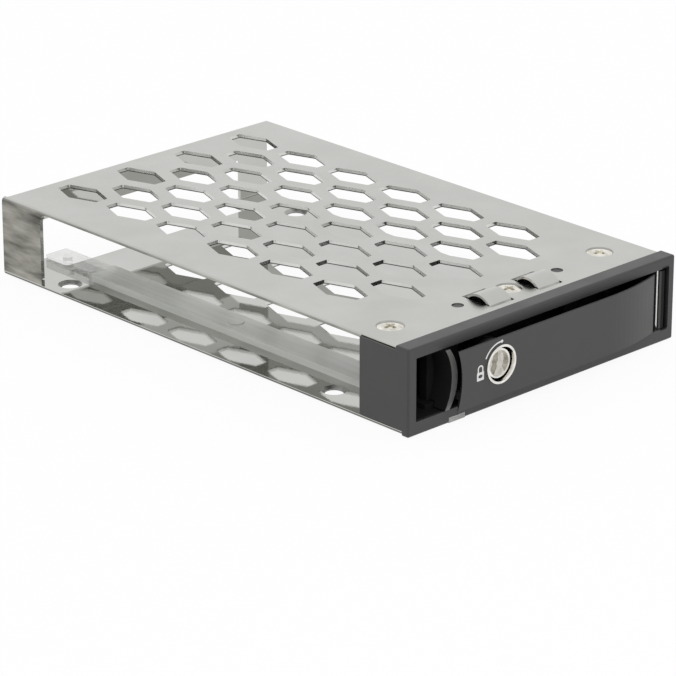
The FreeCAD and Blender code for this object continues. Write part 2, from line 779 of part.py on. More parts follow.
def make_lock_sleeve():
    """Return the lock's ring and barrel, with a lip that keeps the core in."""
    ring = rod_y(ring_r, lock_x, lock_z, (ring_front, panel_front))
    barrel = rod_y(sleeve_r, lock_x, lock_z, (panel_front, sleeve_back))
    bore = rod_y(sleeve_bore_r, lock_x, lock_z, (ring_front - past, sleeve_back - sleeve_lip))
    neck = rod_y(neck_r + core_fit, lock_x, lock_z, (ring_front - past, sleeve_back + past))
    mouth = rod_y(core_r + groove_width, lock_x, lock_z, (ring_front - past, core_front + groove_depth))
    return one(ring, barrel).cut([bore, neck, mouth])


def key_recess():
    """Return the two kidney-shaped key pockets, with a bridge and a land between them."""
    y = (core_front - past, core_front + key_depth)
    ring = rod_y(key_r, lock_x, lock_z, y).cut(rod_y(key_hub_r, lock_x, lock_z, y))
    bridge = block((lock_x - key_bridge / 2, lock_x + key_bridge / 2), y, (lock_z, lock_z + key_r))
    land = plate_y([(lock_x - key_bridge / 2, lock_z), (lock_x - key_land, lock_z - key_r),
                    (lock_x + key_land, lock_z - key_r), (lock_x + key_bridge / 2, lock_z)], y)
    return ring.cut([bridge, land])


def make_lock_core():
    """Return the turning plug with its key recess and the neck that carries the cam."""
    plug = rod_y(core_r, lock_x, lock_z, (core_front, sleeve_back - sleeve_lip - core_fit))
    rim = [edge for edge in plug.Edges if edge.BoundBox.YMax < core_front + core_edge]
    plug = plug.makeChamfer(core_edge, rim)
    neck = rod_y(neck_r, lock_x, lock_z, (core_front + key_depth, cam_front))
    hole = rod_y(cam_screw_r + screw_fit, lock_x, lock_z, (cam_back - cam_screw_length, cam_front + past))
    return one(plug, neck).cut([key_recess(), hole])


def make_lock_clip():
    """Return the open spring ring behind the handle's lock boss."""
    span = (lock_boss_back, lock_boss_back + clip_t)
    ring = rod_y(sleeve_r + clip_width, lock_x, lock_z, span)
    hole = rod_y(sleeve_r + screw_fit, lock_x, lock_z, (span[0] - past, span[1] + past))
    opening = block((lock_x, lock_x + sleeve_r + clip_width + past), (span[0] - past, span[1] + past),
                    (lock_z - clip_opening / 2, lock_z + clip_opening / 2))
    return ring.cut([hole, opening])


def make_lock_cam():
    """Return the cam: a round hub with a finger, which points right when unlocked."""
    span = (cam_front, cam_back)
    hub = rod_y(cam_hub_r, lock_x, lock_z, span)
    finger = block((lock_x, lock_x + cam_reach), span, (lock_z - cam_width / 2, lock_z + cam_width / 2))
    finger = finger.common(rod_y(cam_reach, lock_x, lock_z, span))
    hole = rod_y(cam_screw_r + screw_fit, lock_x, lock_z, (span[0] - past, span[1] + past))
    return one(hub, finger).cut(hole)


def make_cam_screw():
    """Return the slotted screw that holds the cam."""
    head_back = cam_back + cam_screw_head_t
    head = rod_y(cam_screw_head_r, lock_x, lock_z, (cam_back, head_back))
    shank = rod_y(cam_screw_r, lock_x, lock_z, (cam_back - cam_screw_length, cam_back))
    slot = block((lock_x - cam_screw_head_r - past, lock_x + cam_screw_head_r + past),
                 (head_back - cam_slot_depth, head_back + past),
                 (lock_z - cam_slot_width / 2, lock_z + cam_slot_width / 2))
    return one(head, shank).cut(slot)


def make_top_screws():
    """Return the three screws in the top plate."""
    return Part.makeCompound([screw(x, y, roof_high, -1) for x, y in (*screw_places, middle_screw)])


def make_bottom_screws():
    """Return the two screws in the bottom plate."""
    return Part.makeCompound([screw(x, y, floor_low, 1) for x, y in screw_places])


PIECES = {
    "cage": make_cage,
    "bezel": make_bezel,
    "handle": make_handle,
    "hinge_pin": make_hinge_pin,
    "handle_spring": make_handle_spring,
    "release_latch": make_release_latch,
    "latch_spring": make_latch_spring,
    "lock_sleeve": make_lock_sleeve,
    "lock_clip": make_lock_clip,
    "lock_core": make_lock_core,
    "lock_cam": make_lock_cam,
    "cam_screw": make_cam_screw,
    "light_guide": make_light_guide,
    "top_screws": make_top_screws,
    "bottom_screws": make_bottom_screws,
}

os.makedirs("parts", exist_ok=True)
for node, make in PIECES.items():
    make().exportStep(f"parts/{node}.step")
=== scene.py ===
"""Dressed model of a slide-in drive carrier: finishes, printed signs, screw heads, studio and camera."""

from __future__ import annotations

import logging
import math
from dataclasses import dataclass
from enum import Enum

import bpy
from mathutils import Matrix, Vector


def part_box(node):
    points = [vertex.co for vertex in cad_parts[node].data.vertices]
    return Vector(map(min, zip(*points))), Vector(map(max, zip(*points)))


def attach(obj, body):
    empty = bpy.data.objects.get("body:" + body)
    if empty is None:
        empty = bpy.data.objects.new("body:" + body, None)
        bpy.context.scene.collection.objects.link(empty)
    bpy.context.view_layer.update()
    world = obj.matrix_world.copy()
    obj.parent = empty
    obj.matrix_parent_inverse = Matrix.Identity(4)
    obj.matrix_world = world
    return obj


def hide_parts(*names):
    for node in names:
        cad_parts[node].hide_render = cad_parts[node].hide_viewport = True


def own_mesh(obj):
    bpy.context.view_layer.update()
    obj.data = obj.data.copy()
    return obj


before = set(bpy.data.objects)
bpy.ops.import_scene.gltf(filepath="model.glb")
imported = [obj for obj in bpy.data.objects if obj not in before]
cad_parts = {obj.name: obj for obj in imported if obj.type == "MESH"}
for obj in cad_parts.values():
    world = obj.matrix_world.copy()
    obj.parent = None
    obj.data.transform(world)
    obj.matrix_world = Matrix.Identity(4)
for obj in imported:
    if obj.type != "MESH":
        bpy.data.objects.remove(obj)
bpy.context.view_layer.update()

log = logging.getLogger("drive_carrier")
MM = 0.001
ORIGIN = (0.0, 0.0, 0.0)
WHITE = (1.0, 1.0, 1.0, 1.0)
NOISE_ENDS = (0.3, 0.7)  # Most noise values lie between these.
WAVE_LENGTH = 0.314  # Distance between the wave texture's rings at scale 1.


class Body(Enum):
    """The rigid bodies that new pieces ride on."""

    CARRIER = "carrier"
    HANDLE = "handle"


class Slot(Enum):
    """The material slots of the record."""

    MOULDING = "black_moulding"
    SPRING = "spring_steel"
    SCREW = "screw_steel"


class Measure(Enum):
    """Measures of a shaded point: its place in metres, and the direction that its face looks to."""

    ACROSS = ("Object", "X")
    BACK = ("Object", "Y")
    HEIGHT = ("Object", "Z")
    FACING = ("Normal", "X")
    LEAN = ("Normal", "Z")


Pair = tuple[float, float]
Point = tuple[float, float, float]
Colour = tuple[float, float, float]
Tone = tuple[Colour, Colour]  # Darker and lighter colour, linear.
Zone = tuple[tuple[Measure, float, float], ...]  # Measures, each with the values that give 0 and 1.
Socket = bpy.types.NodeSocket
Material = bpy.types.Material
Piece = bpy.types.Object


class Graph:
    """Shader nodes of one material or world, with short calls to add and link them."""

    def __init__(self, owner: Material | bpy.types.World, output: str = "ShaderNodeOutputMaterial") -> None:
        """Empty the node tree and add its output.

        Args:
            owner: Material or world that the nodes belong to.
            output: Blender's name of the output node's type.
        """
        owner.use_nodes = True
        self.owner = owner
        self.tree = owner.node_tree
        self.tree.nodes.clear()
        self.output = self.add(output)

    def add(self, kind: str, inputs: dict | None = None, **settings: object) -> bpy.types.Node:
        """Add a node.

        Args:
            kind: Blender's name of the node type.
            inputs: Socket name to constant value, or to the output socket that feeds it.
            **settings: Properties of the node itself.

        Returns:
            The new node.
        """
        node = self.tree.nodes.new(kind)
        for key, value in settings.items():
            setattr(node, key, value)
        for key, value in (inputs or {}).items():
            if isinstance(value, Socket):
                self.tree.links.new(value, node.inputs[key])
            else:
                node.inputs[key].default_value = value
        return node

    def place(self, scale: Point = (1.0, 1.0, 1.0), centre: Point = ORIGIN) -> Socket:
        """Give object coordinates, moved to a centre and then stretched.

        Args:
            scale: Factor on each axis.
            centre: Point that becomes the pattern's origin, in metres.

        Returns:
            The vector output.
        """
        coordinates = self.add("ShaderNodeTexCoord")
        shift = tuple(-c * s for c, s in zip(centre, scale))
        mapping = self.add("ShaderNodeMapping", {"Vector": coordinates.outputs["Object"], "Scale": scale,
                                                 "Location": shift})
        return mapping.outputs["Vector"]

    def noise(self, vector: Socket, scale: float = 1.0, detail: float = 3.0) -> Socket:
        """Give a noise value between 0 and 1.

        Args:
            vector: Coordinates.
            scale: Noise cells per unit of the coordinates.
            detail: Number of finer layers.

        Returns:
            The value output.
        """
        node = self.add("ShaderNodeTexNoise", {"Vector": vector, "Scale": scale, "Detail": detail})
        return node.outputs["Fac"]

    def spread(self, value: Socket, low: float, high: float) -> Socket:
        """Map a noise value to a range.

        Args:
            value: Noise value.
            low: Result at the low end.
            high: Result at the high end.

        Returns:
            The mapped value.
        """
        start, end = NOISE_ENDS
        node = self.add("ShaderNodeMapRange", {"Value": value, "From Min": start, "From Max": end,
                                               "To Min": low, "To Max": high})
        return node.outputs["Result"]

    def tint(self, value: Socket, tone: Tone) -> Socket:
        """Blend two colours by a noise value.

        Args:
            value: Noise value.
            tone: Colours at its low and at its high end.

        Returns:
            The colour output.
        """
        ramp = self.add("ShaderNodeValToRGB", {"Fac": value})
        for element, position, colour in zip(ramp.color_ramp.elements, NOISE_ENDS, tone):
            element.position = position
            element.color = (*colour, 1.0)
        return ramp.outputs["Color"]

    def bump(self, height: Socket, depth: float, flat: bool = False) -> Socket:
        """Turn a height value into a normal.

        Args:
            height: Value between 0 and 1.
            depth: Height of the relief in metres.
            flat: Whether each face keeps its own direction, with no smoothing across its edges.

        Returns:
            The normal output.
        """
        inputs = {"Height": height, "Distance": depth}
        if flat:
            inputs["Normal"] = self.add("ShaderNodeNewGeometry").outputs["True Normal"]
        return self.add("ShaderNodeBump", inputs).outputs["Normal"]

    def measure(self, measure: Measure) -> Socket:
        """Give one measure of the shaded point.

        Args:
            measure: What to give.

        Returns:
            The value output.
        """
        output, axis = measure.value
        coordinates = self.add("ShaderNodeTexCoord").outputs[output]
        return self.add("ShaderNodeSeparateXYZ", {"Vector": coordinates}).outputs[axis]

    def ramp(self, value: Socket, start: float, end: float) -> Socket:
        """Give 0 at the start value and 1 at the end value, with a soft change between.

        Args:
            value: Value to measure.
            start: Value that gives 0.
            end: Value that gives 1; it may lie below the start.

        Returns:
            The mask output.
        """
        node = self.add("ShaderNodeMapRange", {"Value": value, "From Min": start, "From Max": end},
                        interpolation_type="SMOOTHSTEP")
        return node.outputs["Result"]

    def zone(self, zone: Zone) -> Socket:
        """Mask a zone, which is where all its measures give 1."""
        return self.both(*(self.ramp(self.measure(what), start, end) for what, start, end in zone))

    def both(self, *masks: Socket) -> Socket:
        """Multiply masks, so that the result is 1 only where all of them are.

        Args:
            *masks: Values between 0 and 1.

        Returns:
            The product.
        """
        product = masks[0]
        for mask in masks[1:]:
            product = self.add("ShaderNodeMath", {0: product, 1: mask}, operation="MULTIPLY").outputs["Value"]
        return product

    def either(self, first: Socket, second: Socket) -> Socket:
        """Give the larger of two masks."""
        return self.add("ShaderNodeMath", {0: first, 1: second}, operation="MAXIMUM").outputs["Value"]

    def blend(self, mask: Socket, outside: Socket | float, inside: Socket | float) -> Socket:
        """Blend two values by a mask, the first where it is 0 and the second where it is 1."""
        return self.add("ShaderNodeMix", {0: mask, 2: outside, 3: inside}).outputs[0]

    def blend_colour(self, mask: Socket, outside: Socket, inside: Socket) -> Socket:
        """Blend two colours by a mask, the first where it is 0 and the second where it is 1."""
        return self.add("ShaderNodeMix", {0: mask, 6: outside, 7: inside}, data_type="RGBA").outputs[2]

    def surface(self, **inputs: object) -> Material:
        """Finish the material with one principled shader.

        Args:
            **inputs: Socket values, with underscores for the blanks in socket names.

        Returns:
            The finished material.
        """
        named = {key.replace("_", " "): value for key, value in inputs.items()}
        shader = self.add("ShaderNodeBsdfPrincipled", named)
        self.tree.links.new(shader.outputs["BSDF"], self.output.inputs["Surface"])
        return self.owner

    def seen(self) -> Socket:
        """Give 1 for what is seen, mirrored or looked at through clear plastic, and 0 for light."""
        rays = self.add("ShaderNodeLightPath").outputs
        return self.either(self.either(rays["Is Camera Ray"], rays["Is Glossy Ray"]),
                           rays["Is Transmission Ray"])

    def finish_mixed(self, share: Socket, lit: bpy.types.Node, plain: bpy.types.Node) -> None:
        """Finish with a mix of two shaders.

        Args:
            share: Share of the second shader.
            lit: First shader.
            plain: Second shader.
        """
        mix = self.add("ShaderNodeMixShader", {0: share, 1: lit.outputs[0], 2: plain.outputs[0]})
        self.tree.links.new(mix.outputs["Shader"], self.output.inputs["Surface"])


@dataclass(frozen=True)
class SheetFinish:
    """Bright rolled sheet: mirror-like plates, cut walls smooth above and torn below, with painted shade on
    countersinks, the upper fold's line and undersides, and a darker painted reflection on the left wall.

    Attributes:
        name: Name of the material.
        plate: Colours of the plates.
        cut: Colours of the smooth part of a cut wall.
        torn: Colours of the torn part of a cut wall.
        bevel_shade: Colours of the painted shade on countersinks and on the upper fold's line.
        side: Colours of the painted reflection on the left wall's outer face.
        foot: Colours of the painted shade on the lower fold's underside.
        shade: Colours of the tongues' undersides.
        upright: What counts as a wall.
        bevel_shade_zone: Countersinks and the upper fold's line, where shade is painted.
        painted_reflection_zone: Outer face of the left wall, where a darker reflection is painted.
        foot_shade_zone: Underside of the lower fold, where shade is painted.
        shade_zone: Undersides of the tongues and of the top plate round them.
        outer_zone: Upper face of the top plate.
        smooth: Lowest roughness.
        dull: Highest roughness.
        outer_roughness: Roughness of the top plate's upper face.
        cut_roughness: Roughness of the smooth part of a cut wall.
        torn_roughness: Roughness of the torn part of a cut wall and of countersinks.
        line_grain: Rolling lines per metre, on each axis.
        line_depth: Height of the rolling lines, in metres.
        cloud_grain: Clouds per metre.
        streak_grain: Streaks per metre, on each axis.
        top: Height of the top plate's upper face, in metres.
        thickness: Thickness of the sheet, in metres.
        burnish: Share of a cut wall that is smooth.
        edge: Softness of the line between smooth and torn, in metres.
    """

    name: str = "bright_rolled_sheet"
    plate: Tone = ((0.48, 0.48, 0.46), (0.53, 0.53, 0.51))
    cut: Tone = ((0.62, 0.62, 0.60), (0.74, 0.74, 0.72))
    torn: Tone = ((0.10, 0.10, 0.095), (0.20, 0.20, 0.19))
    # Painted shade on the slanted faces of countersinks and of the upper fold's line.
    bevel_shade: Tone = ((0.30, 0.30, 0.29), (0.48, 0.48, 0.46))
    # Painted reflection: a darker, streaked tone on the left wall's outer face.
    side: Tone = ((0.055, 0.055, 0.045), (0.40, 0.39, 0.35))
    # Painted shade under the lower fold.
    foot: Tone = ((0.06, 0.06, 0.055), (0.12, 0.12, 0.11))
    shade: Tone = ((0.0072, 0.0072, 0.0072), (0.012, 0.012, 0.012))
    upright: Zone = ((Measure.LEAN, 0.6, 0.35), (Measure.LEAN, -0.6, -0.35))
    bevel_shade_zone: Zone = ((Measure.LEAN, 0.50, 0.62), (Measure.LEAN, 0.84, 0.76),
                       (Measure.HEIGHT, 16.6 * MM, 16.568 * MM))
    painted_reflection_zone: Zone = ((Measure.ACROSS, -34.8 * MM, -34.98 * MM), (Measure.FACING, -0.6, -0.95),
                       (Measure.HEIGHT, 0.8 * MM, 1.12 * MM))
    foot_shade_zone: Zone = ((Measure.LEAN, -0.1, -0.25), (Measure.HEIGHT, 0.96 * MM, 0.8 * MM),
                       (Measure.ACROSS, -34.8 * MM, -34.98 * MM))
    shade_zone: Zone = ((Measure.LEAN, -0.05, -0.2), (Measure.BACK, -48.0 * MM, -49.0 * MM),
                        (Measure.HEIGHT, 15.4 * MM, 15.64 * MM))
    outer_zone: Zone = ((Measure.LEAN, 0.5, 0.8), (Measure.HEIGHT, 8.3 * MM, 14.94 * MM))
    smooth: float = 0.005
    dull: float = 0.014
    outer_roughness: float = 0.24
    cut_roughness: float = 0.27
    torn_roughness: float = 0.45
    line_grain: Point = (9000.0, 160.0, 9000.0)
    line_depth: float = 0.8e-6
    cloud_grain: float = 90.0
    streak_grain: Point = (300.0, 90.0, 420.0)
    top: float = 16.6 * MM
    thickness: float = 0.8 * MM
    burnish: float = 0.74
    edge: float = 0.048 * MM

    def cut_walls(self, graph: Graph, above: float) -> Socket:
        """Mask the plates' cut walls, from a share of the thickness downwards.

        Args:
            graph: Graph to add the nodes to.
            above: Share of the wall, from its top, that is left out.

        Returns:
            The mask output.
        """
        bands = []
        for plate_top in (self.top, self.thickness):
            start, foot = plate_top - above * self.thickness, plate_top - self.thickness
            bands.append(graph.zone(((Measure.HEIGHT, start + self.edge, start - self.edge),
                                     (Measure.HEIGHT, foot - 2.0 * self.edge, foot - self.edge))))
        return graph.both(graph.zone(self.upright), graph.either(*bands))

    def material(self) -> Material:
        """Build the material.

        Returns:
            The material.
        """
        graph = Graph(bpy.data.materials.new(self.name))
        lines = graph.noise(graph.place(self.line_grain))
        clouds = graph.noise(graph.place(), self.cloud_grain)
        streaks = graph.noise(graph.place(self.streak_grain), detail=4.0)
        walls, torn = self.cut_walls(graph, 0.0), self.cut_walls(graph, self.burnish)
        # Mask of the painted shade on countersinks and on the upper fold's line.
        bevel_shade, outer = graph.zone(self.bevel_shade_zone), graph.zone(self.outer_zone)
        colour = graph.tint(clouds, self.plate)
        # Over the plate tone come the cut and torn walls, then painted shade on countersinks and the upper
        # fold, a painted reflection on the left wall, and painted shade under the lower fold and under the
        # tongues.
        for mask, tone in ((walls, self.cut), (torn, self.torn), (bevel_shade, self.bevel_shade),
                           (graph.zone(self.painted_reflection_zone), self.side), (graph.zone(self.foot_shade_zone), self.foot),
                           (graph.zone(self.shade_zone), self.shade)):
            colour = graph.blend_colour(mask, colour, graph.tint(streaks, tone))
        roughness = graph.spread(lines, self.smooth, self.dull)
        for mask, value in ((outer, self.outer_roughness), (walls, self.cut_roughness),
                            (graph.either(torn, bevel_shade), self.torn_roughness)):
            roughness = graph.blend(mask, roughness, value)
        return graph.surface(Base_Color=colour, Metallic=1.0, Roughness=roughness,
                             Normal=graph.bump(lines, self.line_depth))


@dataclass(frozen=True)
class MouldingFinish:
    """Satin black moulding with a fine spark-eroded grain; behind the front face it is duller and darkened by
    painted shade.

    Attributes:
        name: Name of the material.
        tone: Colours of the plastic.
        inner: Colours of the painted shade on the faces inside.
        smooth: Lowest roughness.
        dull: Highest roughness.
        inner_roughness: Roughness of the faces inside.
        gloss: Strength of mirrored light.
        inner_gloss: Strength of mirrored light on the faces inside.
        grain: Grains per metre.
        grain_depth: Height of the grain, in metres.
        cloud_grain: Clouds per metre.
        behind: What lies behind the front face, where shade is painted.
        hinge: What lies round the hinge, where shade is painted.
        room: Sides, floor and roof of the room inside, where shade is painted.
    """

    name: str = "satin_black_moulding"
    tone: Tone = ((0.034, 0.034, 0.034), (0.041, 0.041, 0.040))
    # Painted shade: darker colours for the faces inside, behind the front face and round the hinge.
    inner: Tone = ((0.0084, 0.0084, 0.0084), (0.012, 0.012, 0.012))
    smooth: float = 0.34
    dull: float = 0.44
    inner_roughness: float = 0.7
    gloss: float = 0.5
    inner_gloss: float = 0.12
    grain: float = 5200.0
    grain_depth: float = 4.0e-6
    cloud_grain: float = 140.0
    behind: Zone = ((Measure.BACK, -62.9 * MM, -61.9 * MM),)
    hinge: Zone = ((Measure.BACK, -64.0 * MM, -63.8 * MM), (Measure.ACROSS, 32.1 * MM, 32.5 * MM),
                   (Measure.ACROSS, 34.3 * MM, 33.9 * MM))
    room: Zone = ((Measure.ACROSS, -34.7 * MM, -34.3 * MM), (Measure.ACROSS, 34.7 * MM, 34.3 * MM),
                  (Measure.HEIGHT, 2.2 * MM, 2.6 * MM), (Measure.HEIGHT, 15.6 * MM, 15.2 * MM))

    def material(self) -> Material:
        """Build the material.

        Returns:
            The material.
        """
        graph = Graph(bpy.data.materials.new(self.name))
        place = graph.place()
        grain = graph.noise(place, self.grain, detail=2.0)
        clouds = graph.noise(place, self.cloud_grain)
        # Painted shade: inside the room, behind the front face and round the hinge, the darker inner colours
        # replace the plastic's.
        behind = graph.either(graph.zone(self.hinge), graph.zone(self.behind))
        inside = graph.both(behind, graph.zone(self.room))
        colour = graph.blend_colour(inside, graph.tint(clouds, self.tone), graph.tint(clouds, self.inner))
        roughness = graph.blend(inside, graph.spread(clouds, self.smooth, self.dull), self.inner_roughness)
        return graph.surface(Base_Color=colour, Roughness=roughness,
                             Specular_IOR_Level=graph.blend(inside, self.gloss, self.inner_gloss),
                             Normal=graph.bump(grain, self.grain_depth, flat=True))


@dataclass(frozen=True)
class TurnedFinish:
    """Turned and plated metal with rings round the vertical.

    Attributes:
        name: Name of the material.
        tone: Colours of the metal.
        smooth: Lowest roughness.
        dull: Highest roughness.
        pitch: Distance between rings, in metres.
        waver: How far the rings waver.
        ring_depth: Height of the rings, in metres.
        cloud_grain: Clouds per metre.
    """

    name: str
    tone: Tone
    smooth: float = 0.12
    dull: float = 0.24
    pitch: float = 0.25 * MM
    waver: float = 0.6
    ring_depth: float = 2.0e-6
    cloud_grain: float = 700.0

    def material(self) -> Material:
        """Build the material.

        Returns:
            The material.
        """
        graph = Graph(bpy.data.materials.new(self.name))
        place = graph.place()
        rings = graph.add("ShaderNodeTexWave", {"Vector": place, "Scale": WAVE_LENGTH / self.pitch,
                                                "Distortion": self.waver, "Detail": 2.0},
                          wave_type="RINGS", rings_direction="Z")
        clouds = graph.noise(place, self.cloud_grain)
        return graph.surface(Base_Color=graph.tint(clouds, self.tone), Metallic=1.0,
                             Roughness=graph.spread(clouds, self.smooth, self.dull),
                             Normal=graph.bump(rings.outputs["Fac"], self.ring_depth))


@dataclass(frozen=True)
class LockFinish:
    """Warm nickel plate, with black painted shade in the narrow gap round the core and behind the panel.

    Attributes:
        name: Name of the material.
        tone: Colours of the metal.
        rim: Colours of the polished rims.
        gap: Colours of the painted shade in the gap and behind the panel.
        axis: Point on the lock's axis, in metres.
        rim_radius: Radii at which the core's polished rim starts and is complete, in metres.
        gap_radius: Inner and outer radius of the gap, in metres.
        gap_edge: Softness of the gap's edges, in metres.
        gap_zone: Depth from which the gap is painted black as shade.
        behind: What lies behind the panel, painted black as shade.
        smooth: Lowest roughness.
        dull: Highest roughness.
        gap_roughness: Roughness of the painted shade.
        cloud_grain: Clouds per metre.
    """

    name: str = "warm_nickel"
    tone: Tone = ((0.44, 0.42, 0.38), (0.66, 0.64, 0.59))
    rim: Tone = ((0.675, 0.66, 0.63), (0.90, 0.88, 0.84))
    # Painted shade: near-black for the gap round the core and for what lies behind the panel.
    gap: Tone = ((0.004, 0.004, 0.004), (0.008, 0.008, 0.008))
    axis: Point = (-14.5 * MM, 0.0, 9.4 * MM)
    rim_radius: Pair = (2.5 * MM, 2.6 * MM)
    gap_radius: Pair = (3.06 * MM, 3.42 * MM)
    gap_edge: float = 0.03 * MM
    gap_zone: Zone = ((Measure.BACK, -65.05 * MM, -64.97 * MM),)
    behind: Zone = ((Measure.BACK, -64.3 * MM, -64.0 * MM),)
    smooth: float = 0.06
    dull: float = 0.16
    gap_roughness: float = 0.6
    cloud_grain: float = 900.0

    def black(self, graph: Graph, radius: Socket) -> Socket:
        """Mask the painted shade: the gap round the core and everything behind the panel.

        Args:
            graph: Graph to add the nodes to.
            radius: Distance from the lock's axis.

        Returns:
            The mask output.
        """
        (inner, outer), edge = self.gap_radius, self.gap_edge
        ring = graph.both(graph.ramp(radius, inner - edge, inner + edge),
                          graph.ramp(radius, outer + edge, outer - edge), graph.zone(self.gap_zone))
        return graph.either(ring, graph.zone(self.behind))

    def material(self) -> Material:
        """Build the material.

        Returns:
            The material.
        """
        graph = Graph(bpy.data.materials.new(self.name))
        clouds = graph.noise(graph.place(), self.cloud_grain)
        flat = graph.place((1.0, 0.0, 1.0), self.axis)
        radius = graph.add("ShaderNodeVectorMath", {"Vector": flat}, operation="LENGTH").outputs["Value"]
        black = self.black(graph, radius)
        colour = graph.blend_colour(graph.ramp(radius, *self.rim_radius), graph.tint(clouds, self.tone),
                                    graph.tint(clouds, self.rim))
        # Painted shade: black in the gap round the core and behind the panel.
        colour = graph.blend_colour(black, colour, graph.tint(clouds, self.gap))
        roughness = graph.blend(black, graph.spread(clouds, self.smooth, self.dull), self.gap_roughness)
        return graph.surface(Base_Color=colour, Metallic=1.0, Roughness=roughness)


@dataclass(frozen=True)
class AcrylicFinish:
    """Pale milky acrylic with long flow streaks, a clearer tab and a frosted window.

    Attributes:
        name: Name of the material.
        tone: Colours of the plastic, the darker one in the streaks.
        window: Colours of the frosted window in the front.
        cover: Share of what lies behind that the milky bar hides.
        tab_cover: Share of what lies behind that the clear tab hides.
        tab_zone: Where the tab is.
        window_zone: Where the window is.
        smooth: Lowest roughness.
        dull: Highest roughness.
        bending: Refractive index.
        streak_grain: Streaks per metre, on each axis.
        frost_grain: Frosted spots per metre.
    """

    name: str = "milky_acrylic"
    tone: Tone = ((0.84, 0.86, 0.81), (0.99, 1.0, 0.96))
    window: Tone = ((0.30, 0.31, 0.30), (0.46, 0.47, 0.45))
    cover: float = 0.75
    tab_cover: float = 0.22
    tab_zone: Zone = ((Measure.BACK, 36.0 * MM, 38.0 * MM),)
    window_zone: Zone = ((Measure.BACK, -56.0 * MM, -58.0 * MM),)
    smooth: float = 0.10
    dull: float = 0.25
    bending: float = 1.49
    streak_grain: Point = (900.0, 45.0, 500.0)
    frost_grain: float = 420.0

    def material(self) -> Material:
        """Build the material.

        Returns:
            The material.
        """
        graph = Graph(bpy.data.materials.new(self.name))
        streaks = graph.noise(graph.place(self.streak_grain))
        frost = graph.noise(graph.place(), self.frost_grain)
        window = graph.zone(self.window_zone)
        cover = graph.blend(graph.zone(self.tab_zone), self.cover, self.tab_cover)
        colour = graph.blend_colour(window, graph.tint(streaks, self.tone), graph.tint(frost, self.window))
        return graph.surface(Base_Color=colour, Roughness=graph.spread(frost, self.smooth, self.dull),
                             Alpha=graph.either(cover, window), IOR=self.bending)


@dataclass(frozen=True)
class InkFinish:
    """Pad-printed white ink.

    Attributes:
        name: Name of the material.
        tone: Colours of the thin and of the full ink.
        smooth: Lowest roughness.
        dull: Highest roughness.
        grain: Spots per metre.
    """

    name: str = "white_print"
    tone: Tone = ((0.7176, 0.7176, 0.7084), (0.78, 0.78, 0.77))
    smooth: float = 0.45
    dull: float = 0.6
    grain: float = 6000.0

    def material(self) -> Material:
        """Build the material.

        Returns:
            The material.
        """
        graph = Graph(bpy.data.materials.new(self.name))
        cover = graph.noise(graph.place(), self.grain, detail=2.0)
        return graph.surface(Base_Color=graph.tint(cover, self.tone),
                             Roughness=graph.spread(cover, self.smooth, self.dull))


def dress(node: str, material: Material) -> None:
    """Give a CAD node its finish.

    Args:
        node: Name of the node.
        material: Finish of all its faces.
    """
    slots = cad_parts[node].data.materials
    slots.clear()
    slots.append(material)
    log.info("dressed %s in %s", node, material.name)


def pick(piece: Piece) -> None:
    """Select one piece alone and make it the active one.

    Args:
        piece: Piece to select.
    """
    bpy.ops.object.select_all(action="DESELECT")
    piece.select_set(True)
    bpy.context.view_layer.objects.active = piece


def join(first: Piece, *others: Piece) -> Piece:
    """Join pieces into the first of them.

    Args:
        first: Piece that stays.
        *others: Pieces that become part of it.

    Returns:
        The joined piece.
    """
    pick(first)
    for piece in others:
        piece.select_set(True)
    bpy.ops.object.join()
    return first


def cut(piece: Piece, tool: Piece) -> None:
    """Cut one piece's shape out of another and remove the tool.

    Args:
        piece: Piece that is cut.
        tool: Shape that is taken away.
    """
    pick(piece)
    boolean = piece.modifiers.new("cut", "BOOLEAN")
    boolean.operation = "DIFFERENCE"
    boolean.object = tool
    bpy.ops.object.modifier_apply(modifier=boolean.name)
    bpy.data.objects.remove(tool)


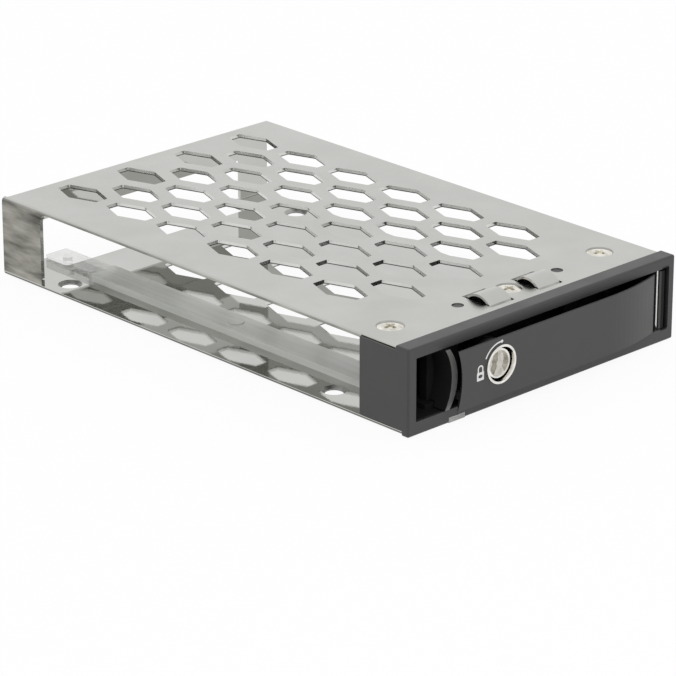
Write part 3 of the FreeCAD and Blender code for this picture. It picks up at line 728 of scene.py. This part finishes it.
class Shaper:
    """One new mesh that is shaped with Blender's own modelling operators."""

    def __init__(self, name: str, primitive: str, **sizes: object) -> None:
        """Add the starting primitive at the origin and open it for editing.

        Args:
            name: Name of the piece.
            primitive: Kind of mesh primitive: plane, circle, cube or cylinder.
            **sizes: Sizes of the primitive.
        """
        bpy.ops.object.select_all(action="DESELECT")
        getattr(bpy.ops.mesh, f"primitive_{primitive}_add")(location=ORIGIN, **sizes)
        self.piece = bpy.context.object
        self.piece.name = name
        bpy.ops.object.mode_set(mode="EDIT")
        bpy.ops.mesh.select_all(action="SELECT")

    def resize(self, x: float, y: float, z: float) -> None:
        """Scale what is selected about the origin."""
        bpy.ops.transform.resize(value=(x, y, z), center_override=ORIGIN)

    def move(self, x: float, y: float, z: float) -> None:
        """Move what is selected."""
        bpy.ops.transform.translate(value=(x, y, z))

    def turn(self, angle: float, axis: str, centre: Point = ORIGIN) -> None:
        """Turn what is selected about the X, Y or Z axis through a point, by an angle in radians."""
        bpy.ops.transform.rotate(value=angle, orient_axis=axis, center_override=centre)

    def extrude(self, x: float, y: float, z: float) -> None:
        """Draw the selected face out along a line."""
        bpy.ops.mesh.extrude_region_move(TRANSFORM_OT_translate={"value": (x, y, z)})

    def spin(self, angle: float, centre: Point, steps: int) -> None:
        """Draw the selected face clockwise, as seen from the front, round a point, by an angle in radians."""
        bpy.ops.mesh.spin(steps=steps, angle=angle, center=centre, axis=(0.0, -1.0, 0.0))

    def bevel(self, width: float) -> None:
        """Round every selected edge."""
        bpy.ops.mesh.bevel(offset=width, segments=2, affect="EDGES")

    def coil(self, pitch: float, turns: int, steps: int) -> None:
        """Wind the outline into a coil along the x axis, with both ends closed.

        Args:
            pitch: Distance between turns, in metres.
            turns: Number of turns.
            steps: Number of steps in a turn.
        """
        bpy.ops.object.mode_set(mode="OBJECT")
        screw = self.piece.modifiers.new("coil", "SCREW")
        screw.axis = "X"
        screw.screw_offset = pitch
        screw.iterations = turns
        screw.steps = steps
        bpy.ops.object.modifier_apply(modifier=screw.name)
        bpy.ops.object.mode_set(mode="EDIT")
        bpy.ops.mesh.select_all(action="SELECT")
        bpy.ops.mesh.fill_holes(sides=0)
        bpy.ops.mesh.select_all(action="SELECT")

    def close(self, material: Material) -> Piece:
        """Turn all faces outwards, leave editing and give the finish.

        Args:
            material: Finish of the piece.

        Returns:
            The finished piece.
        """
        bpy.ops.mesh.select_all(action="SELECT")
        bpy.ops.mesh.normals_make_consistent(inside=False)
        bpy.ops.object.mode_set(mode="OBJECT")
        self.piece.data.materials.clear()
        self.piece.data.materials.append(material)
        return self.piece


@dataclass
class Screws:
    """Countersunk cross-recess screws that hold the cage to the front.

    Attributes:
        finish: Finish of the screws.
        sides: Number of faces round a screw.
        shank_r: Radius of the shank.
        head_r: Radius of the head.
        head_h: Height of the head's cone.
        length: Length below the rim of the head.
        dome: Height of the head's dome.
        dome_ring: Width of one ring of the dome, as a share of the head's radius.
        dome_steps: Share of the dome's height that each ring takes, from the rim inwards.
        sink: How far the rim lies under the plate's face.
        cross_length: Length of the cross recess at its mouth.
        cross_width: Width of one arm at its mouth.
        cross_depth: Depth of the recess.
        taper: Size of the recess's floor against its mouth.
        smooth_angle: Largest angle between faces that are shaded as one, in degrees.
        top: Height of the top plate's upper face.
        top_places: Where the top screws are, x and y.
        bottom_places: Where the bottom screws are, x and y.
    """

    finish: TurnedFinish = TurnedFinish("screw_nickel", ((0.52, 0.50, 0.44), (0.88, 0.86, 0.79)),
                                        smooth=0.03, dull=0.12)
    sides: int = 48
    shank_r: float = 1.25 * MM
    head_r: float = 2.5 * MM
    head_h: float = 1.25 * MM
    length: float = 6.0 * MM
    dome: float = 0.18 * MM
    dome_ring: float = 0.25
    dome_steps: Point = (0.5, 0.3, 0.2)
    sink: float = 0.2 * MM
    cross_length: float = 3.1 * MM
    cross_width: float = 0.85 * MM
    cross_depth: float = 0.9 * MM
    taper: float = 0.45
    smooth_angle: float = 20.0
    top: float = 16.6 * MM
    top_places: tuple[Pair, ...] = ((-28.6 * MM, -50.8 * MM), (27.7 * MM, -50.8 * MM),
                                    (1.05 * MM, -52.3 * MM))
    bottom_places: tuple[Pair, ...] = ((-28.6 * MM, -50.8 * MM), (27.7 * MM, -50.8 * MM))

    def build(self) -> None:
        """Make all screws, in place of the plain ones."""
        material = self.finish.material()
        self.row("top_screw_heads", "top_screws", material, self.top, 0.0, self.top_places)
        self.row("bottom_screw_heads", "bottom_screws", material, 0.0, math.pi, self.bottom_places)

    def row(self, name: str, node: str, material: Material, level: float, turn: float,
            places: tuple[Pair, ...]) -> None:
        """Make the screws of one plate as one piece.

        Args:
            name: Name of the piece.
            node: CAD node that it stands for.
            material: Finish of the screws.
            level: Height of the plate's outer face.
            turn: Turn about the x axis; half a turn points the screws up.
            places: Where they are, x and y.
        """
        copies = [self.screw(name, material)]
        for _ in places[1:]:
            pick(copies[0])
            bpy.ops.object.duplicate()
            copies.append(bpy.context.object)
        for piece, (x, y) in zip(copies, places):
            pick(piece)
            bpy.ops.object.mode_set(mode="EDIT")
            bpy.ops.mesh.select_all(action="SELECT")
            bpy.ops.transform.rotate(value=turn, orient_axis="X", center_override=ORIGIN)
            bpy.ops.transform.translate(value=(x, y, level))
            bpy.ops.object.mode_set(mode="OBJECT")
        piece = join(*copies)
        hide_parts(node)
        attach(piece, Body.CARRIER.value)
        log.info("made %s", name)

    def screw(self, name: str, material: Material) -> Piece:
        """Make one screw that points down, its head just under the plane z = 0.

        Args:
            name: Name of the screw.
            material: Finish of the screw.

        Returns:
            The screw.
        """
        body = Shaper(name, "circle", vertices=self.sides, radius=self.shank_r, fill_type="NGON")
        body.move(0.0, 0.0, -self.sink - self.length)
        body.extrude(0.0, 0.0, self.length - self.head_h)
        body.extrude(0.0, 0.0, self.head_h)
        body.resize(self.head_r / self.shank_r, self.head_r / self.shank_r, 1.0)
        for share in self.dome_steps:
            bpy.ops.mesh.inset(thickness=self.dome_ring * self.head_r, depth=share * self.dome)
        piece = body.close(material)
        bpy.ops.object.shade_smooth_by_angle(angle=math.radians(self.smooth_angle))
        for x, y in ((self.cross_length, self.cross_width), (self.cross_width, self.cross_length)):
            arm = Shaper("arm", "plane", size=1.0)
            arm.resize(x, y, 1.0)
            arm.move(0.0, 0.0, self.dome)
            arm.extrude(0.0, 0.0, -self.dome - self.sink - self.cross_depth)
            arm.resize(self.taper, self.taper, 1.0)
            cut(piece, arm.close(material))
        return piece


@dataclass
class Cage:
    """The folded sheet cage.

    Attributes:
        sheet: Finish of the sheet.
    """

    sheet: SheetFinish = SheetFinish()

    def build(self) -> None:
        """Dress the cage."""
        dress("cage", self.sheet.material())


@dataclass
class Front:
    """The moulded front with its hinge pin, leaf spring and light guide.

    Attributes:
        acrylic: Finish of the light guide.
        pad_xs: Middles of the pads under the sheet's two tongues.
        pad_width: Width of a pad.
        pad_y: Front and rear of a pad.
        pad_z: Underside and top of a pad.
        pad_edge: Rounding of a pad's edges.
    """

    acrylic: AcrylicFinish = AcrylicFinish()
    pad_xs: Pair = (-5.5 * MM, 7.6 * MM)
    pad_width: float = 6.1 * MM
    pad_y: Pair = (-57.15 * MM, -49.3 * MM)
    pad_z: Pair = (15.15 * MM, 15.75 * MM)
    pad_edge: float = 0.05 * MM

    def build(self, moulding: Material, steel: Material, spring: Material) -> None:
        """Dress the pieces of the front.

        Args:
            moulding: Finish of the moulded frame.
            steel: Finish of the hinge pin.
            spring: Finish of the leaf spring.
        """
        dress("bezel", moulding)
        dress("hinge_pin", steel)
        dress("handle_spring", spring)
        dress("light_guide", self.acrylic.material())
        for number, x in enumerate(self.pad_xs):
            pad = self.pad(f"tongue_pad_{number + 1}", x, moulding)
            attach(pad, Body.CARRIER.value)
            log.info("made %s", pad.name)

    def pad(self, name: str, x: float, moulding: Material) -> Piece:
        """Make the moulded pad that closes the front's roof under one tongue.

        Args:
            name: Name of the pad.
            x: Middle of the pad.
            moulding: Finish of the pad.

        Returns:
            The pad.
        """
        pad = Shaper(name, "cube", size=1.0)
        pad.resize(self.pad_width, self.pad_y[1] - self.pad_y[0], self.pad_z[1] - self.pad_z[0])
        pad.move(x, sum(self.pad_y) / 2.0, sum(self.pad_z) / 2.0)
        pad.bevel(self.pad_edge)
        return pad.close(moulding)


@dataclass
class Latch:
    """The push latch and its coil spring.

    Attributes:
        moulding: Finish of the latch, a lighter copy of the moulding whose front stands for painted light,
            with painted shade behind it.
        coil_r: Radius of the coil spring, to the middle of its wire.
        wire_r: Radius of its wire.
        wire_sides: Number of faces round the wire.
        turns: Number of its turns.
        turn_steps: Number of steps in a turn.
        smooth_angle: Largest angle between faces that are shaded as one, in degrees.
        travel: How far the latch goes when it is pushed; not used.
    """

    # Painted light: a lighter copy of the moulding for the latch's front, for the light its curved face
    # catches; painted shade behind that front.
    moulding: MouldingFinish = MouldingFinish(
        "painted_light_black_moulding", ((0.13, 0.13, 0.128), (0.15, 0.15, 0.148)), smooth=0.25, dull=0.34,
        behind=((Measure.BACK, -63.42 * MM, -63.30 * MM),))
    coil_r: float = 1.3 * MM
    wire_r: float = 0.2 * MM
    wire_sides: int = 12
    turns: int = 6
    turn_steps: int = 24
    smooth_angle: float = 40.0
    travel: float = 1.0 * MM

    def build(self, spring: Material) -> None:
        """Dress the latch, and make its spring."""
        dress("release_latch", self.moulding.material())
        log.info("made %s", self.spring(spring).name)

    def spring(self, material: Material) -> Piece:
        """Make the coil spring at its rest length, as one rigid piece; on the real latch it shortens towards
        its seat in the front when pushed.

        Args:
            material: Finish of the spring.

        Returns:
            The spring.
        """
        low, high = (Vector(corner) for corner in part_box("latch_spring"))
        middle = (low + high) / 2.0
        length = high.x - low.x
        wire = Shaper("latch_coil", "circle", radius=self.wire_r, vertices=self.wire_sides)
        wire.move(0.0, self.coil_r, 0.0)
        wire.coil((length - 2.0 * self.wire_r) / self.turns, self.turns, self.turn_steps)
        wire.move(low.x + self.wire_r, middle.y, middle.z)
        piece = wire.close(material)
        bpy.ops.object.shade_smooth_by_angle(angle=math.radians(self.smooth_angle))
        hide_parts("latch_spring")
        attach(piece, Body.CARRIER.value)
        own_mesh(piece)
        return piece


@dataclass
class KeyLock:
    """The key lock in the handle.

    Attributes:
        nickel: Finish of the ring and the core.
    """

    nickel: LockFinish = LockFinish()

    def build(self, blued: Material) -> None:
        """Dress the lock.

        Args:
            blued: Finish of the clip, the cam and its screw.
        """
        nickel = self.nickel.material()
        for node in ("lock_sleeve", "lock_core"):
            dress(node, nickel)
        for node in ("lock_cam", "cam_screw", "lock_clip"):
            dress(node, blued)


@dataclass
class Handle:
    """The swinging handle with the white signs printed round the lock.

    Attributes:
        print_ink: Finish of the signs.
        face: Place of the panel's flat face, in metres.
        ink: Thickness of the ink, in metres.
        lock: Lock axis on the panel, x and z in metres.
        arc_radius: Radius of the turning sign's arc.
        arc_from: Angle at which the arc starts, in degrees from the right.
        arc_to: Angle at which it ends in the dot.
        arc_steps: Number of steps in the arc.
        line: Width of printed lines.
        dot_radius: Radius of the dot.
        dot_ink: Thickness of the dot, which stands a little proud of the arc.
        disc_sides: Number of faces round a disc.
        sign: Middle of the padlock sign's body, x and z in metres.
        sign_size: Width and height of that body.
        keyhole: Half width and half height of the keyhole.
        keyhole_depth: Depth of the shape that cuts the keyhole.
        shackle_radius: Radius of the middle line of the shackle.
        shackle_leg: Length of the shackle's straight legs.
        shackle_steps: Number of steps in its bow.
    """

    print_ink: InkFinish = InkFinish()
    face: float = -65.35 * MM
    ink: float = 0.02 * MM
    lock: Pair = (-14.5 * MM, 9.4 * MM)
    arc_radius: float = 4.40 * MM
    arc_from: float = 153.0
    arc_to: float = 87.0
    arc_steps: int = 40
    line: float = 0.30 * MM
    dot_radius: float = 0.30 * MM
    dot_ink: float = 0.03 * MM
    disc_sides: int = 40
    sign: Pair = (-19.8 * MM, 8.38 * MM)
    sign_size: Pair = (1.8 * MM, 1.62 * MM)
    keyhole: Pair = (0.55 * MM, 0.35 * MM)
    keyhole_depth: float = 0.08 * MM
    shackle_radius: float = 0.58 * MM
    shackle_leg: float = 0.66 * MM
    shackle_steps: int = 24

    def build(self, moulding: Material) -> None:
        """Dress the handle and print its signs.

        Args:
            moulding: Finish of the handle.
        """
        dress("handle", moulding)
        ink = self.print_ink.material()
        level = self.face - self.ink / 2.0
        for sign in (self.turning_sign(ink, level), self.padlock_sign(ink, level)):
            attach(sign, Body.HANDLE.value)
            log.info("printed %s", sign.name)

    def disc(self, name: str, size: Point, middle: Point, ink: Material) -> Piece:
        """Make a round or oval disc on the panel.

        Args:
            name: Name of the disc.
            size: Half width, thickness and half height.
            middle: Middle of the disc.
            ink: Finish of the disc.

        Returns:
            The disc.
        """
        disc = Shaper(name, "cylinder", vertices=self.disc_sides, radius=1.0, depth=1.0)
        disc.turn(math.pi / 2.0, "X")
        disc.resize(*size)
        disc.move(*middle)
        return disc.close(ink)

    def turning_sign(self, ink: Material, level: float) -> Piece:
        """Print the arc with the dot that shows which way the key turns.

        Args:
            ink: Finish of the print.
            level: Middle of the ink's thickness.

        Returns:
            The print.
        """
        x, z = self.lock
        start, end = math.radians(self.arc_from), math.radians(self.arc_to)
        arc = Shaper("turning_sign", "plane", size=1.0)
        arc.resize(self.line, self.ink, 1.0)
        arc.move(x + self.arc_radius, level, z)
        arc.turn(start, "Y", (x, level, z))
        arc.spin(start - end, (x, level, z), self.arc_steps)
        arc_piece = arc.close(ink)
        place = (x + self.arc_radius * math.cos(end), level, z + self.arc_radius * math.sin(end))
        dot = self.disc("turning_dot", (self.dot_radius, self.dot_ink, self.dot_radius), place, ink)
        return join(arc_piece, dot)

    def padlock_sign(self, ink: Material, level: float) -> Piece:
        """Print the closed padlock.

        Args:
            ink: Finish of the print.
            level: Middle of the ink's thickness.

        Returns:
            The print.
        """
        x, z = self.sign
        width, height = self.sign_size
        body = Shaper("padlock_sign", "cube", size=1.0)
        body.resize(width, self.ink, height)
        body.move(x, level, z)
        body_piece = body.close(ink)
        hole = (self.keyhole[0], self.keyhole_depth, self.keyhole[1])
        cut(body_piece, self.disc("keyhole", hole, (x, level, z), ink))
        top = z + height / 2.0
        bow = Shaper("shackle", "plane", size=1.0)
        bow.resize(self.line, self.ink, 1.0)
        bow.move(x - self.shackle_radius, level, top)
        bow.extrude(0.0, 0.0, self.shackle_leg)
        bow.spin(math.pi, (x, level, top + self.shackle_leg), self.shackle_steps)
        bow.extrude(0.0, 0.0, -self.shackle_leg)
        return join(body_piece, bow.close(ink))


@dataclass(frozen=True)
class Lamp:
    """One large soft lamp that faces the carrier.

    Attributes:
        name: Name of the lamp.
        place: Where it stands, in metres.
        size: Side of its square face, in metres.
        power: Power in watts.
    """

    name: str
    place: Point
    size: float
    power: float

    def build(self) -> None:
        """Add the lamp."""
        data = bpy.data.lights.new(self.name, "AREA")
        data.size = self.size
        data.energy = self.power
        lamp = bpy.data.objects.new(self.name, data)
        lamp.visible_glossy = False
        towards = Vector(self.place).to_track_quat("Z", "Y").to_matrix().to_4x4()
        lamp.matrix_world = Matrix.Translation(self.place) @ towards
        bpy.context.scene.collection.objects.link(lamp)


@dataclass
class Studio:
    """Floor, soft light and the camera.

    Attributes:
        azimuth: Turn of the view about the vertical, in degrees; negative stands to the left of the front.
        elevation: Height of the view above the horizon, in degrees.
        distance: Distance of the lens from the aim point, along the view, in metres.
        aside: How far the aim point lies to the left of the picture's middle and below it, in metres.
        aim: Front top middle of the sheet, in metres.
        lens: Focal length, in millimetres.
        sensor: Width of the sensor, in millimetres.
        clip: Nearest and farthest distance that the camera sees, in metres.
        lamps: The lamps.
        surrounding: Strength of the light from all round.
        floor_size: Width of the floor, in metres.
        floor_level: Height of the floor, in metres.
        floor_colour: Colour of the floor.
        floor_white: Share of plain white in the floor where it is seen.
    """

    azimuth: float = -43.635
    elevation: float = 21.647
    distance: float = 0.680677
    aside: Pair = (0.035865, 0.007378)
    aim: Point = (0.0, -0.05895, 0.0166)
    lens: float = 194.854
    sensor: float = 36.0
    clip: Pair = (0.01, 50.0)
    lamps: tuple[Lamp, ...] = (Lamp("key", (-0.5, -0.7, 0.9), 0.6, 3.0),
                               Lamp("fill", (0.8, 0.1, 0.8), 0.8, 2.0))
    surrounding: float = 0.8
    floor_size: float = 6.0
    floor_level: float = -0.2 * MM
    floor_colour: tuple[float, float, float, float] = (0.9, 0.9, 0.9, 1.0)
    floor_white: float = 0.93

    def build(self) -> None:
        """Make the whole studio."""
        self.floor()
        self.world()
        for lamp in self.lamps:
            lamp.build()
        self.camera()

    def axes(self) -> tuple[Vector, Vector, Vector]:
        """Work out the camera's axes.

        Returns:
            The directions to the right, up and back of the view.
        """
        turn, tilt = math.radians(self.azimuth), math.radians(self.elevation)
        back = Vector((math.sin(turn) * math.cos(tilt), -math.cos(turn) * math.cos(tilt), math.sin(tilt)))
        right = Vector((0.0, 0.0, 1.0)).cross(back).normalized()
        return right, back.cross(right), back

    def camera(self) -> None:
        """Add the camera at the photograph's viewpoint."""
        right, up, back = self.axes()
        place = Vector(self.aim) - right * self.aside[0] - up * self.aside[1] + back * self.distance
        data = bpy.data.cameras.new("view")
        data.lens = self.lens
        data.sensor_width = self.sensor
        data.clip_start, data.clip_end = self.clip
        camera = bpy.data.objects.new("view", data)
        camera.matrix_world = Matrix.Translation(place) @ Matrix((right, up, back)).transposed().to_4x4()
        bpy.context.scene.collection.objects.link(camera)
        bpy.context.scene.camera = camera

    def world(self) -> None:
        """Light all round from a plain pale surrounding, white where it is seen or mirrored."""
        world = bpy.data.worlds.new("studio")
        bpy.context.scene.world = world
        graph = Graph(world, "ShaderNodeOutputWorld")
        lit, white = (graph.add("ShaderNodeBackground", {"Color": WHITE, "Strength": strength})
                      for strength in (self.surrounding, 1.0))
        graph.finish_mixed(graph.seen(), lit, white)

    def floor(self) -> None:
        """Lay the pale floor under the carrier."""
        bpy.ops.object.select_all(action="DESELECT")
        bpy.ops.mesh.primitive_plane_add(size=self.floor_size, location=(0.0, 0.0, self.floor_level))
        floor = bpy.context.object
        floor.name = "floor"
        graph = Graph(bpy.data.materials.new("pale_floor"))
        matt = graph.add("ShaderNodeBsdfDiffuse", {"Color": self.floor_colour})
        white = graph.add("ShaderNodeEmission", {"Color": WHITE, "Strength": 1.0})
        share = graph.add("ShaderNodeMath", {0: graph.seen(), 1: self.floor_white}, operation="MULTIPLY")
        graph.finish_mixed(share.outputs["Value"], matt, white)
        floor.data.materials.append(graph.owner)


def main() -> None:
    """Build and dress everything in order."""
    logging.basicConfig(level=logging.INFO, format="%(name)s: %(message)s")
    moulding = MouldingFinish().material()
    steel = TurnedFinish("ground_steel", ((0.60, 0.60, 0.58), (0.70, 0.70, 0.68))).material()
    spring = TurnedFinish("blued_spring_steel", ((0.018, 0.018, 0.020), (0.030, 0.030, 0.032)),
                          smooth=0.35, dull=0.5).material()
    Cage().build()
    Screws().build()
    Front().build(moulding, steel, spring)
    Latch().build(spring)
    KeyLock().build(spring)
    Handle().build(moulding)
    Studio().build()
    bpy.context.scene.view_settings.view_transform = "Standard"


if __name__ == "__main__":
    main()
